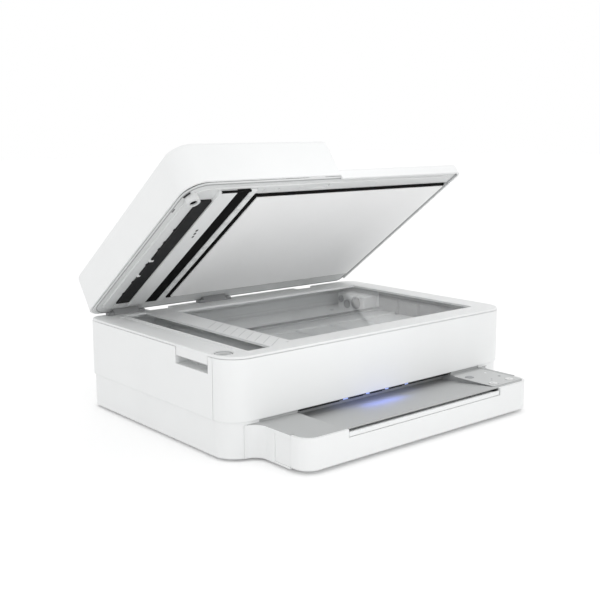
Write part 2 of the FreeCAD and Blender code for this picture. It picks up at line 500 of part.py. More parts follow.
yoke = block("head_yoke", around("scan_x", "12"), ("scan_rod_y - 6", "scan_rod_y + 6"), ("79.6", "91"))
yoke_bore = rod("yoke_bore", "x", around("scan_x", "20"), "scan_rod_y", "scan_rod_z", "3 + run_fit")
sub_part("scan_head", cut("scan_head_cut", fuse("scan_head_fuse", head, yoke), yoke_bore))
stands = []
for hinge in LID_HINGES:
    for hand in (-1, 1):
        across = around(f"{hinge} + {hand}*(hinge_half + 4)", "3.5")
        stands.append(block("hinge_stand", across, ("tub_rear", "177.6"), ("96", "105.5")))
        stands.append(block("hinge_ear", across, ("169", "177.6"), ("105", "112")))
    stands.append(rod("hinge_pin", "x", around(hinge, "hinge_half + 6"), "hinge_y", "hinge_z", "pin_radius"))
sub_part("hinge_posts", fuse("hinge_posts_fuse", *stands))

# Lid, drawn shut: outer shell with the raised feeder housing on the left and a thin right half.
LID_Y = ("lid_front", REAR)
thin = slab("thin_lid", ("adf_end - 30", "lid_right"), LID_Y, ("shell_low", "lid_top"), "lid_corner",
            "lid_corner", "3")
hood = slab("hood", (LEFT, "adf_end"), LID_Y, ("shell_low", "adf_top"),
            "front_radius - 2", "rear_radius", "7", None, False)
thin_room = slab("thin_room", ("adf_end - 31", "lid_right - wall"), ("lid_front + wall", f"{REAR} - wall"),
                 ("shell_low - 1", "lid_top - wall"), "lid_corner - wall", "lid_corner - wall")
hood_room = slab("hood_room", (f"{LEFT} + wall", "adf_end - wall"), ("lid_front + wall", f"{REAR} - wall"),
                 ("shell_low - 1", "adf_top - wall"),
                 "front_radius - 2 - wall", "rear_radius - wall", "4.5", None, False)
SILL_Z = ("shell_low - 1", "adf_low")
hood_sill = block("hood_sill", (f"{LEFT} - 1", "adf_end"), ("lid_front - 1", f"{REAR} + 1"), SILL_Z)
rear_sill = block("rear_sill", (f"{LEFT} - 1", f"{RIGHT} + 1"), ("168", f"{REAR} + 1"), SILL_Z)
COVER_X = (f"{LEFT} + 12", "adf_end - 8")
COVER_Y = ("lid_front + 14", f"{REAR} - 14")
hatch = slab("hatch", (f"{COVER_X[0]} - 0.6", f"{COVER_X[1]} + 0.6"),
             (f"{COVER_Y[0]} - 0.6", f"{COVER_Y[1]} + 0.6"), ("adf_top - 5", "adf_top + 1"), "2.6", "2.6")
feed_mouth = block("feed_mouth", ("adf_end - 5", "adf_end + 1"), ("-82", "148"), ("128", "144"))
rails = [block("guide_rail", ("8", "44"), around(y, "34"), ("lid_top - 1", "lid_top + 0.4"))
         for y in ("-46", "112")]
lid_shell = cut("lid_shell_cut", fuse("lid_outer", thin, hood), thin_room, hood_room, hood_sill, rear_sill,
                hatch, feed_mouth)
lid_part("lid_shell", fuse("lid_shell_fuse", lid_shell, *rails))

FLANGE_Y = ("lid_front + 2.8", f"{REAR} - 2.8")
FLANGE_Z = ("lid_flange", "lid_seat")
flange = slab("flange", (f"{LEFT} + 2.8", "adf_end"), FLANGE_Y, FLANGE_Z, "front_radius - 2.8",
              "rear_radius - 2.8", None, None, False)
thin_flange = slab("thin_flange", ("adf_end - 20", "lid_right - 2.8"), FLANGE_Y, FLANGE_Z, "lid_corner - 2.8",
                   "lid_corner - 2.8")
under_plate = slab("under_plate", ("-205", "lid_right - 5"), ("lid_front + 10", "165"),
                   ("lid_under", "lid_flange + 0.5"), "20", "12", None, "1.2")
peg = rod("peg", "z", "peg_x", "peg_y", ("105.5", "lid_flange + 0.5"), "peg_radius")
peg_eye = rod("peg_eye", "z", "peg_x", "peg_y", ("100", "110"), "peg_radius - 3.2")
strip_pocket = slab("strip_pocket", ("-190.5", "-122"), ("-90.5", "157"), ("lid_under - 1", "113.6"),
                    "1.5", "1.5")
pad_pocket = slab("pad_pocket", ("-120.5", "187"), ("-80", "150"), ("lid_under - 1", "113"), "2", "2")
latch_pocket = slab("latch_pocket", ("-45", "-19"), ("-92", "-83"), ("lid_under - 1", "113.4"), "3", "1")
small_holes = [rod("small_hole", "z", x, "-86", ("lid_under - 1", "113.6"), "2.2") for x in ("-92", "-112")]
underside = fuse("lid_base_fuse", flange, thin_flange, under_plate, peg)
lid_part("lid_base", cut("lid_base_cut", underside, peg_eye, strip_pocket, pad_pocket, latch_pocket,
                         *small_holes))
lid_part("document_pad", slab("pad", ("-116", "184"), ("-76", "147"), ("109.3", "113"), "2", "2"))
STRIP_Y = ("-89.5", "156")
dark = [block("lead_strip", ("-190", "-173"), ("-72", "150"), ("111", "113.6")),
        block("rest_strip", ("-148", "-131.5"), STRIP_Y, ("111.4", "113.6"))]
lid_part("feeder_strips", group("dark_strips", *dark))
pale = [block("press_strip", ("-172", "-149"), STRIP_Y, ("109.9", "113.6")),
        block("edge_rail", ("-131", "-123"), STRIP_Y, ("110.4", "113.6"))]
lid_part("press_plate", group("pale_strips", *pale))
knuckles = []
for hinge in LID_HINGES:
    barrel = rod("barrel", "x", around(hinge, "hinge_half"), "hinge_y", "hinge_z", "5.4")
    web = block("barrel_web", around(hinge, "hinge_half"), ("hinge_y - 5.4", "hinge_y + 3"),
                ("hinge_z", "lid_flange"))
    eye = rod("barrel_eye", "x", around(hinge, "hinge_half + 3"), "hinge_y", "hinge_z",
              "pin_radius + run_fit")
    knuckles.append(cut("knuckle", fuse("knuckle_fuse", barrel, web), eye))
lid_part("lid_hinges", group("knuckles", *knuckles))

# Document feeder: lifting cover, two rollers and the paired width guides on the lid's right half.
cover = slab("cover", (f"{COVER_X[0]} + 1.5", COVER_X[1]), COVER_Y, ("adf_top - 3", "adf_top"), "2", "2")
cover_edge = rod("cover_edge", "y", f"{COVER_X[0]} + 1.5", (f"{COVER_Y[0]} + 3", f"{COVER_Y[1]} - 3"),
                 "adf_top - 1.5", "1.5")
lid_part("feeder_cover", fuse("feeder_cover_fuse", cover, cover_edge))
for node, x, z, radius in (("feeder_pick_roller", "-40", "136", "10"),
                           ("feeder_feed_roller", "-165", "134", "12")):
    core = rod(node + "_core", "y", x, ("-98", "175"), z, "3")
    grips = [rod(node + "_grip", "y", x, around(f"33 + {n}*45", "12"), z, radius) for n in (-2, -1, 0, 1, 2)]
    lid_part(node, fuse(node + "_fuse", core, *grips))
for node, y in (("document_guide_front", "-76"), ("document_guide_rear", "142")):
    upright = slab(node + "_wall", ("6", "46"), around(y, "1.5"), ("lid_top + 0.8", "138"))
    toe = "1" if node.endswith("front") else "-1"
    sole = block(node + "_sole", ("6", "46"), around(f"{y} + {toe}*7", "8"),
                 ("lid_top + 0.8", "lid_top + 2.3"))
    lid_part(node, fuse(node + "_fuse", upright, sole))

DOC.recompute()
for thing in DOC.Objects:
    if "Invalid" in thing.State or "Error" in thing.State:
        raise RuntimeError(f"{thing.Name} did not build: {thing.State}")
os.makedirs("parts", exist_ok=True)
for node, piece in NODES.items():
    if piece.Shape.isNull() or not piece.Shape.isValid():
        raise RuntimeError(f"{node} has no valid shape")
    piece.Shape.exportStep(f"parts/{node}.step")
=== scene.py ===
import math

import bpy
from mathutils import Matrix, Vector


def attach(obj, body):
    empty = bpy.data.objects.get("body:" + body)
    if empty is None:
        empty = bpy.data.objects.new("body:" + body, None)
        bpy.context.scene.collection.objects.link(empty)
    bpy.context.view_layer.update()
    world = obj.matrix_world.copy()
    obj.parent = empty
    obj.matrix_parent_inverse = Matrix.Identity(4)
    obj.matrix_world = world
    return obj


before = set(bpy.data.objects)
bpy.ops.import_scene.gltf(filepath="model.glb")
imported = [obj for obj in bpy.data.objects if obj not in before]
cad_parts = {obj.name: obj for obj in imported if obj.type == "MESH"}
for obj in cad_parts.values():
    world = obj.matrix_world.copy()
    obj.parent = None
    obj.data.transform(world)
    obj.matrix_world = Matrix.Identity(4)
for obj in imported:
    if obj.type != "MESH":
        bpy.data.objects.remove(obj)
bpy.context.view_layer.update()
MM = 0.001

# Scale and depth of the mottling and grain that every plastic, rubber and metal shares.
CLOUD_SCALE, CLOUD_DETAIL = 14, 5
GRAIN_DETAIL, GRAIN_DEPTH = 2, 0.0002
EDGE_SAMPLES = 4
GLOSS_LOW, GLOSS_HIGH = 0.9, 1.12

# Glass: size of the wiping marks, their greatest haze, and the share that is plainly clear.
WIPE_SCALE, WIPE_DETAIL, WIPE_START, WIPE_HAZE = 9, 6, 0.45, 0.035
CLEAR_SHARE = 0.75

# Angles above which an edge stays sharp, for the solids and for the added round pieces.
SOLID_SHARP, PIECE_SHARP = math.radians(32), math.radians(40)

# The lid is described shut and turned up about its hinge to the rest opening.
LID_OPEN = math.radians(36.6)
HINGE = Vector((0, 0.174, 0.108))
LID = Matrix.Translation(HINGE) @ Matrix.Rotation(-LID_OPEN, 4, "X") @ Matrix.Translation(-HINGE)
STILL = Matrix.Identity(4)


def material(name, colour, rough, spread=0.03, grain=0.08, grain_scale=1400, edge=0.5, metal=0.0,
             gloss=0.5, glow=None):
    """A plastic, rubber or metal with mottled colour, uneven gloss, a fine grain and softened edges."""
    mat = bpy.data.materials.new(name)
    mat.use_nodes = True
    nodes, links = mat.node_tree.nodes, mat.node_tree.links
    shader = nodes["Principled BSDF"]
    shader.inputs["Metallic"].default_value = metal
    shader.inputs["Specular IOR Level"].default_value = gloss
    place = nodes.new("ShaderNodeTexCoord")
    cloud = nodes.new("ShaderNodeTexNoise")
    cloud.inputs["Scale"].default_value = CLOUD_SCALE
    cloud.inputs["Detail"].default_value = CLOUD_DETAIL
    links.new(place.outputs["Object"], cloud.inputs["Vector"])
    tint = nodes.new("ShaderNodeValToRGB")
    tint.color_ramp.elements[0].position = 0.3
    tint.color_ramp.elements[1].position = 0.7
    tint.color_ramp.elements[0].color = [c * (1 - spread) for c in colour] + [1]
    tint.color_ramp.elements[1].color = [min(1, c * (1 + spread)) for c in colour] + [1]
    links.new(cloud.outputs["Fac"], tint.inputs["Fac"])
    links.new(tint.outputs["Color"], shader.inputs["Base Color"])
    gloss_range = nodes.new("ShaderNodeMapRange")
    gloss_range.inputs["To Min"].default_value = rough * GLOSS_LOW
    gloss_range.inputs["To Max"].default_value = min(1, rough * GLOSS_HIGH)
    links.new(cloud.outputs["Fac"], gloss_range.inputs["Value"])
    links.new(gloss_range.outputs["Result"], shader.inputs["Roughness"])
    speckle = nodes.new("ShaderNodeTexNoise")
    speckle.inputs["Scale"].default_value = grain_scale
    speckle.inputs["Detail"].default_value = GRAIN_DETAIL
    links.new(place.outputs["Object"], speckle.inputs["Vector"])
    soft_edge = nodes.new("ShaderNodeBevel")
    soft_edge.samples = EDGE_SAMPLES
    soft_edge.inputs["Radius"].default_value = edge * MM
    bump = nodes.new("ShaderNodeBump")
    bump.inputs["Strength"].default_value = grain
    bump.inputs["Distance"].default_value = GRAIN_DEPTH
    links.new(speckle.outputs["Fac"], bump.inputs["Height"])
    links.new(soft_edge.outputs["Normal"], bump.inputs["Normal"])
    links.new(bump.outputs["Normal"], shader.inputs["Normal"])
    if glow:
        shader.inputs["Emission Color"].default_value = glow[0] + [1]
        shader.inputs["Emission Strength"].default_value = glow[1]
    return mat


def glass_material(name):
    """Clear glass with faint wiping marks that lets light through to what is under it."""
    mat = bpy.data.materials.new(name)
    mat.use_nodes = True
    nodes, links = mat.node_tree.nodes, mat.node_tree.links
    shader = nodes["Principled BSDF"]
    shader.inputs["Base Color"].default_value = [0.95, 0.96, 0.96, 1]
    shader.inputs["Transmission Weight"].default_value = 1
    shader.inputs["IOR"].default_value = 1.5
    place = nodes.new("ShaderNodeTexCoord")
    marks = nodes.new("ShaderNodeTexNoise")
    marks.inputs["Scale"].default_value = WIPE_SCALE
    marks.inputs["Detail"].default_value = WIPE_DETAIL
    links.new(place.outputs["Object"], marks.inputs["Vector"])
    haze = nodes.new("ShaderNodeMapRange")
    haze.inputs["From Min"].default_value = WIPE_START
    haze.inputs["To Max"].default_value = WIPE_HAZE
    links.new(marks.outputs["Fac"], haze.inputs["Value"])
    links.new(haze.outputs["Result"], shader.inputs["Roughness"])
    rays = nodes.new("ShaderNodeLightPath")
    clear = nodes.new("ShaderNodeBsdfTransparent")
    clear.inputs["Color"].default_value = [0.93, 0.935, 0.935, 1]
    see_through = nodes.new("ShaderNodeMath")
    see_through.operation = "MAXIMUM"
    see_through.inputs[1].default_value = CLEAR_SHARE
    links.new(rays.outputs["Is Shadow Ray"], see_through.inputs[0])
    mix = nodes.new("ShaderNodeMixShader")
    links.new(see_through.outputs["Value"], mix.inputs["Fac"])
    links.new(shader.outputs["BSDF"], mix.inputs[1])
    links.new(clear.outputs["BSDF"], mix.inputs[2])
    links.new(mix.outputs["Shader"], nodes["Material Output"].inputs["Surface"])
    return mat


WHITE = material("white_plastic", [0.86, 0.87, 0.87], 0.42, 0.012)
LID_WHITE = material("lid_white", [0.87, 0.88, 0.88], 0.4, 0.012)
DECK = material("deck_white", [0.83, 0.84, 0.84], 0.45, 0.015)
LID_GREY = material("lid_under_grey", [0.72, 0.73, 0.73], 0.5, 0.02)
PAD = material("pad_white", [0.95, 0.95, 0.95], 0.55, 0.012, 0.2, 500)
PRESS = material("strip_white", [0.82, 0.83, 0.83], 0.5, 0.02)
TRAY = material("tray_grey", [0.48, 0.49, 0.49], 0.5, 0.02, 0.12)
PANEL = material("panel_grey", [0.58, 0.59, 0.59], 0.45, 0.02)
KEY_GREY = material("key_grey", [0.4, 0.41, 0.42], 0.4)
KEY_WHITE = material("key_white", [0.8, 0.8, 0.8], 0.35)
KEY_DARK = material("key_dark", [0.2, 0.2, 0.21], 0.4)
DARK = material("dark_plastic", [0.03, 0.03, 0.032], 0.45, 0.08, 0.15)
STRIP = material("strip_dark", [0.012, 0.012, 0.013], 0.6, 0.1, 0.3, 700, gloss=0.3)
BLACK = material("black_plastic", [0.008, 0.008, 0.009], 0.5, 0.1)
FOAM = material("foam_black", [0.006, 0.006, 0.006], 0.9, 0.2, 0.4, 900, gloss=0.1)
TUB = material("tub_grey", [0.85, 0.855, 0.86], 0.5, 0.04, 0.15)
TUB_PALE = material("tub_pale", [0.8, 0.805, 0.81], 0.5, 0.03)
GEAR = material("gear_grey", [0.16, 0.16, 0.17], 0.45, 0.05)
# Dark grey for painted shade along the lid's rim and beyond the pad's right edge.
PAINTED_RIM_SHADE = material("rim_shade_grey", [0.34, 0.345, 0.35], 0.5, 0.03)
HINGES = material("hinge_grey", [0.3, 0.305, 0.31], 0.45, 0.04)
STEEL = material("steel", [0.62, 0.63, 0.65], 0.25, 0.05, 0.1, 300, metal=1.0)
SHEET = material("sheet_metal", [0.55, 0.56, 0.58], 0.35, 0.08, 0.15, 200, metal=1.0)
RUBBER = material("rubber", [0.03, 0.03, 0.03], 0.8, 0.15, 0.4, 600, gloss=0.3)
PULLEY = material("pulley_nylon", [0.7, 0.7, 0.64], 0.4)
BOARD = material("board_green", [0.02, 0.14, 0.06], 0.4, 0.12, 0.3, 400)
CHIP = material("chip_black", [0.015, 0.015, 0.016], 0.5)
INK_TANK = material("ink_tank", [0.1, 0.12, 0.2], 0.4)
CYAN = material("ink_cyan", [0.01, 0.35, 0.6], 0.4)
MAGENTA = material("ink_magenta", [0.55, 0.02, 0.22], 0.4)
YELLOW = material("ink_yellow", [0.8, 0.6, 0.02], 0.4)
MARKS = material("printed_marks", [0.28, 0.29, 0.3], 0.6)
FAINT_MARKS = material("faint_marks", [0.64, 0.65, 0.65], 0.6)
LIGHT = material("blue_light", [0.45, 0.55, 0.95], 0.3, glow=([0.35, 0.45, 1.0], 0.7))
LAMP = material("white_lamp", [0.9, 0.9, 0.92], 0.3)
GLASS = glass_material("clear_glass")

LOOKS = {
    WHITE: "lower_case front_fascia left_side_panel right_side_panel rear_panel tray_front tray_extender",
    LID_WHITE: "lid_shell feeder_cover",
    DECK: "scanner_deck",
    LID_GREY: "lid_base document_guide_front document_guide_rear tray_box width_guide_left width_guide_right",
    PAD: "document_pad",
    PRESS: "press_plate",
    TRAY: "output_tray scan_head",
    PANEL: "control_panel",
    KEY_GREY: "info_button",
    KEY_WHITE: "resume_button cancel_button",
    KEY_DARK: "power_button",
    DARK: "platen star_wheel_bar paper_guide service_station carriage pick_arm black_latch",
    STRIP: "feeder_strips",
    BLACK: "power_inlet power_supply black_cartridge",
    TUB: "scanner_tub",
    HINGES: "lid_hinges hinge_posts",
    STEEL: "guide_rods scan_rail carriage_motor usb_socket",
    SHEET: "chassis",
    RUBBER: "rubber_feet carriage_belt feed_roller eject_roller pick_roller feeder_pick_roller "
            "feeder_feed_roller",
    PULLEY: "drive_pulley idler_pulley",
    BOARD: "main_board",
    INK_TANK: "colour_cartridge colour_latch",
    LIGHT: "light_guide",
    GLASS: "scan_glass adf_glass",
}
for look, names in LOOKS.items():
    for node in names.split():
        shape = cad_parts[node]
        shape.data.materials.clear()
        shape.data.materials.append(look)
        shape.data.shade_smooth()
        shape.data.set_sharp_from_angle(angle=SOLID_SHARP)


def piece(name, verts, faces, look, body, pose=STILL, smooth=False):
    """A mesh in millimetres that rides on a body."""
    mesh = bpy.data.meshes.new(name)
    mesh.from_pydata([pose @ (Vector(v) * MM) for v in verts], [], faces)
    mesh.validate()
    mesh.materials.append(look)
    if smooth:
        mesh.shade_smooth()
        mesh.set_sharp_from_angle(angle=PIECE_SHARP)
    obj = bpy.data.objects.new(name, mesh)
    bpy.context.collection.objects.link(obj)
    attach(obj, body)
    return obj


BOX_FACES = ((0, 2, 3, 1), (4, 5, 7, 6), (0, 1, 5, 4), (2, 6, 7, 3), (0, 4, 6, 2), (1, 3, 7, 5))


def boxes(name, spans, look, body, pose=STILL):
    """Several boxes in one piece; each is (x0, x1, y0, y1, z0, z1)."""
    verts, faces = [], []
    for x0, x1, y0, y1, z0, z1 in spans:
        n = len(verts)
        verts += [(x, y, z) for z in (z0, z1) for y in (y0, y1) for x in (x0, x1)]
        faces += [[n + i for i in face] for face in BOX_FACES]
    return piece(name, verts, faces, look, body, pose)


def prism_faces(n, count):
    """Faces of a prism whose lower outline starts at vertex n and whose upper outline follows it."""
    sides = [[n + k, n + (k + 1) % count, n + count + (k + 1) % count, n + count + k] for k in range(count)]
    return [[n + k for k in reversed(range(count))], [n + count + k for k in range(count)]] + sides


def plates(name, outlines, z0, z1, look, body):
    """Several thin plates in one piece; each outline is a list of (x, y), counter-clockwise from above."""
    verts, faces = [], []
    for outline in outlines:
        faces += prism_faces(len(verts), len(outline))
        verts += [(x, y, z) for z in (z0, z1) for x, y in outline]
    return piece(name, verts, faces, look, body)


AXES = {"x": (1, 2, 0), "y": (2, 0, 1), "z": (0, 1, 2)}


def discs(name, items, axis, look, body, pose=STILL, sides=32, teeth=0.0):
    """Several discs along one axis in one piece; each is (x, y, z, radius, thickness) about its centre."""
    a, b, c = AXES[axis]
    verts, faces = [], []
    for x, y, z, radius, thick in items:
        faces += prism_faces(len(verts), sides)
        for end in (-0.5, 0.5):
            for k in range(sides):
                r = radius * (1 - teeth * (k % 2))
                spot = [x, y, z]
                spot[a] += r * math.cos(2 * math.pi * k / sides)
                spot[b] += r * math.sin(2 * math.pi * k / sides)
                spot[c] += end * thick
                verts.append(spot)
    return piece(name, verts, faces, look, body, pose, smooth=teeth == 0)


def arc(x, y, z, radius, angles):
    """Points on a level circle at the given angles."""
    return [(x + radius * math.cos(a), y + radius * math.sin(a), z) for a in angles]


def tube(name, points, radius, look, body, pose=STILL, closed=False):
    """A round bead along a path in millimetres."""
    data = bpy.data.curves.new(name, "CURVE")
    data.dimensions = "3D"
    data.bevel_depth = radius * MM
    data.bevel_resolution = 3
    data.use_fill_caps = True
    line = data.splines.new("POLY")
    line.points.add(len(points) - 1)
    for spot, at in zip(line.points, points):
        spot.co = [*(pose @ (Vector(at) * MM)), 1]
    line.use_cyclic_u = closed
    data.materials.append(look)
    obj = bpy.data.objects.new(name, data)
    bpy.context.collection.objects.link(obj)
    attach(obj, body)
    return obj


def rounded(x0, x1, y0, y1, z, left, right, steps=8):
    """Points of a rectangle at one height, with one corner radius on its left and one on its right."""
    path = []
    for cx, cy, start, radius in ((x1 - right, y1 - right, 0, right), (x0 + left, y1 - left, 90, left),
                                  (x0 + left, y0 + left, 180, left), (x1 - right, y0 + right, 270, right)):
        for k in range(steps + 1):
            angle = math.radians(start + 90 * k / steps)
            path.append((cx + radius * math.cos(angle), cy + radius * math.sin(angle), z))
    return path


# Heights in millimetres: top of the deck, floor of the scanner tub, top of the carriage labels.
DECK_TOP = 109.0
TUB_FLOOR = 79.3
LABEL_LOW, LABEL_TOP = 73.3, 73.6
PEG_X, PEG_Y = -202, -79

# Page reference bar between the two glass plates: slanted ticks and an alignment triangle.
BAR_LEFT, BAR_RIGHT = -145, -117
TICK_RISE, TICK_WIDTH = 23, 1.3
ticks = [-86 + 14.5 * k for k in range(9)]
outlines = [[(BAR_LEFT, y), (BAR_RIGHT, y + TICK_RISE), (BAR_RIGHT, y + TICK_RISE + TICK_WIDTH),
             (BAR_LEFT, y + TICK_WIDTH)] for y in ticks]
outlines.append([(-122, -84), (-117, -80), (-122, -80)])
plates("page_marks", outlines, DECK_TOP - 0.1, DECK_TOP + 0.04, FAINT_MARKS, "scanner")
tube("strip_bead", [(-180.2, -86, DECK_TOP), (-180.2, 156, DECK_TOP)], 0.6, LID_WHITE, "scanner")

# Well of the locating peg: a grey ring and a grey floor.
tube("well_ring", arc(PEG_X, PEG_Y, 107.8, 9.3, [a / 12 * math.pi for a in range(24)]), 0.5, HINGES,
     "scanner", closed=True)
discs("well_floor", [(PEG_X, PEG_Y, 105.1, 7.8, 0.3)], "z", HINGES, "scanner")

# Inside the scanner, seen through the glass: belt, flat cable, ribs, an end plate with ribs in dark grey as
# painted shade on the tub's right end, gears and screw heads.
tube("scan_belt", [(-180, 72, 88), (158, 72, 88), (158, 76, 88), (-180, 76, 88)], 0.7, RUBBER,
     "scanner", closed=True)
boxes("flat_cable", [(-118, 60, 30, 44, TUB_FLOOR, 79.7), (-118, -104, 30, 44, TUB_FLOOR, 84)], TUB_PALE,
      "scanner")
boxes("tub_ribs", [(-110 + 58 * k, -108 + 58 * k, -86, 56, 79, 81.5) for k in range(5)], TUB,
      "scanner")
# Dark grey end plate and ribs: painted shade of the tub's right wall.
end_shade_ribs = [(183, 189, -62 + 38 * k, -59 + 38 * k, TUB_FLOOR, 99) for k in range(4)]
boxes("end_plate_shade", [(189, 189.8, -82, 92, TUB_FLOOR, 102)] + end_shade_ribs, GEAR, "scanner")
discs("scan_gears", [(163.2, 112, 90, 9, 1.4), (163.2, 130, 86, 6, 1.4), (163.2, 142, 92, 5, 1.4)], "x",
      GEAR, "scanner", sides=48, teeth=0.08)
discs("tub_screws", [(x, y, 79.6, 3, 1.4) for x in (-90, 30, 140) for y in (-70, 20, 136)], "z", STEEL,
      "scanner")

# Lid underside: foam of the pad, a dark grey strip beside the pad and a rim bead as painted shade, feeder
# films, marks, clips, a black corner bead as painted shade of a gap, and screws.
boxes("pad_foam", [(-120.2, -116.2, -79.7, 149.7, 110.4, 112.8), (-116.2, 184.2, -78.8, -76.2, 110.0, 112.8),
                   (-116.2, 184.2, 147.2, 149.7, 110.4, 112.8)], FOAM, "lid", LID)
# Dark grey strip at the pad's right edge: painted shade of the rim's inner wall.
boxes("pad_side_shade", [(184.4, 191, -79.7, 149.7, 110.6, 112.4)], PAINTED_RIM_SHADE, "lid", LID)
boxes("rest_film", [(-147.8, -131.7, -89.4, 155.8, 111.1, 111.5), (-170, -131.7, -90.4, -88, 109.5, 111.4)],
      FOAM, "lid", LID)
discs("peg_core", [(PEG_X, PEG_Y, 107.2, 4.2, 0.3)], "z", FOAM, "lid", LID)
# Dark grey bead round the rim: painted shade under the lid's lower edge.
tube("rim_shade_bead", rounded(-212.6, 193.4, -99.4, 176.6, 113.8, 24, 7), 0.6, PAINTED_RIM_SHADE, "lid", LID,
     closed=True)
boxes("rail_tabs", [(-130, -124.5, -80 + 26 * k, -72 + 26 * k, 109.9, 110.5) for k in range(9)], LID_GREY,
      "lid", LID)
boxes("strip_mark", [(-163, -160.4, -16, -12.5, 109.7, 109.95), (-162, -159.5, -9.5, -5.5, 109.7, 109.95),
                     (-160.8, -158.8, -3, 1, 109.7, 109.95)], DARK, "lid", LID)
boxes("strip_clips", [(-192, -187, 47, 50, 110.4, 113), (-192, -188.5, 81, 83.5, 110.4, 113)], PRESS,
      "lid", LID)
boxes("strip_ticks", [(-191.8, -190, y, y + 4, 112, 112.7) for y in (-18, 8, 22, 56, 96, 124)], STRIP,
      "lid", LID)
# Black bead at the front-left corner: painted shade of the gap between the shell and the base.
tube("corner_gap_shade", arc(-188.6, -75.4, 113.7, 22.4, (3.3, 3.4, 3.5, 3.6, 3.7)), 1.6, BLACK,
     "lid", LID)
boxes("corner_tab", [(-211, -209.4, -56, -50, 113.6, 114.1)], GEAR, "lid", LID)
LID_SCREWS = ((-60, -87), (60, -87), (-110, 158), (120, 158))
discs("lid_screws", [(x, y, 112.4, 2.6, 0.6) for x, y in LID_SCREWS], "z", LID_GREY, "lid", LID)

# Output slot: star wheels, black covers, black strips with gaps before the light bar as painted shade under
# the fascia edge, ends of the apron.
discs("star_wheels", [(-5 + 26 * k, -95, 40.6, 3.6, 0.8) for k in range(-4, 5)], "x", BLACK,
      "base", sides=36, teeth=0.25)
SLOT_COVERS = ((-122, -66), (-50, -30), (-18, 0), (12, 32), (44, 112))
boxes("slot_covers", [(left, right, -103.6, -102.4, 38.2, 41.2) for left, right in SLOT_COVERS], BLACK,
      "base")
# Black strips behind the fascia wall: painted shade of the fascia's lower edge, with gaps where the light bar
# shows.
SLOT_PAINTED_SHADES = ((-125.3, -62), (-54, -27), (-21, 3), (9, 35), (41, 115.3))
boxes("slot_painted_shade", [(left, right, -105.2, -104.4, 39.6, 40.8) for left, right in SLOT_PAINTED_SHADES], BLACK,
      "base")
APRON_ENDS = ((115.7, 117.4), (-127.4, -125.7))
boxes("apron_ends", [(left, right, -103.7, -89.6, 30, 38.6) for left, right in APRON_ENDS], TRAY,
      "base")

# Control end of the tray: a small lamp and plain printed signs on and beside the keys.
SIGN_HEIGHT, SIGN_RADIUS, SIGN_LINE = 38.6, 2.2, 0.15
discs("panel_lamps", [(152.5, -127, 37.8, 1.5, 0.8)], "z", LAMP, "base")
PANEL_SIGNS = ((154, -147, 1.8), (136, -150, 1.1), (131, -154, 0.8))
discs("panel_signs", [(x, y, 38.02, radius, 0.05) for x, y, radius in PANEL_SIGNS], "z", MARKS,
      "base")
tube("key_ring_sign", arc(122, -128, SIGN_HEIGHT, SIGN_RADIUS, [a / 8 * math.pi for a in range(16)]),
     SIGN_LINE, MARKS, "info_key", closed=True)
tube("resume_sign", arc(121.5, -164, SIGN_HEIGHT, SIGN_RADIUS, [a / 8 * math.pi for a in range(2, 15)]),
     SIGN_LINE, MARKS, "resume_key")
boxes("cancel_sign", [(149, 153, -164.2, -163.8, 38.55, 38.65)], MARKS, "cancel_key")

# Screw heads on the rear and on the underside.
discs("rear_screws", [(x, 180.3, 48, 3.2, 0.6) for x in (-180, -100, 60, 180)], "y", STEEL, "base")
discs("base_screws", [(x, y, 3.1, 3.5, 0.8) for x in (-150, 0, 150) for y in (-60, 120)], "z", STEEL,
      "base")

# Print works: ink labels and board parts.
LABELS = (("ink_labels", 93, 107, CYAN, "colour_tank"),
          ("ink_label_magenta", 108, 119, MAGENTA, "colour_tank"),
          ("ink_label_yellow", 120, 133, YELLOW, "colour_tank"),
          ("ink_label_black", 145, 181, CHIP, "black_plastic"))
for label, left, right, ink, ink_slot in LABELS:
    boxes(label, [(left, right, -56, -14, LABEL_LOW, LABEL_TOP)], ink, "carriage")
discs("board_cans", [(120, 90, 58, 4, 9), (146, 96, 57, 3, 7), (184, 140, 58, 4, 9)], "z", STEEL,
      "base")
boxes("board_plugs", [(140, 152, 150, 156, 53.6, 60), (160, 176, 150, 156, 53.6, 60)], KEY_WHITE,
      "base")

# Plain white floor, lifted a little for the camera, that keeps the shadow.
FLOOR_HALF, FLOOR_LIFT = 9, 0.12
corners = [(-FLOOR_HALF, -FLOOR_HALF, 0), (FLOOR_HALF, -FLOOR_HALF, 0), (FLOOR_HALF, FLOOR_HALF, 0),
           (-FLOOR_HALF, FLOOR_HALF, 0)]
floor_mesh = bpy.data.meshes.new("floor")
floor_mesh.from_pydata(corners, [], [(0, 1, 2, 3)])
floor = bpy.data.objects.new("floor", floor_mesh)
bpy.context.collection.objects.link(floor)
floor_look = bpy.data.materials.new("floor_white")
floor_look.use_nodes = True
floor_nodes, floor_links = floor_look.node_tree.nodes, floor_look.node_tree.links
floor_shader = floor_nodes["Principled BSDF"]
floor_shader.inputs["Base Color"].default_value = [0.97, 0.97, 0.97, 1]
floor_shader.inputs["Roughness"].default_value = 0.9
floor_shader.inputs["Specular IOR Level"].default_value = 0.1
lift = floor_nodes.new("ShaderNodeEmission")
seen_by = floor_nodes.new("ShaderNodeLightPath")
lift_level = floor_nodes.new("ShaderNodeMath")
lift_level.operation = "MULTIPLY"
lift_level.inputs[1].default_value = FLOOR_LIFT
floor_links.new(seen_by.outputs["Is Camera Ray"], lift_level.inputs[0])
floor_links.new(lift_level.outputs["Value"], lift.inputs["Strength"])
both = floor_nodes.new("ShaderNodeAddShader")
floor_links.new(floor_shader.outputs["BSDF"], both.inputs[0])
floor_links.new(lift.outputs["Emission"], both.inputs[1])
floor_links.new(both.outputs["Shader"], floor_nodes["Material Output"].inputs["Surface"])
floor_mesh.materials.append(floor_look)

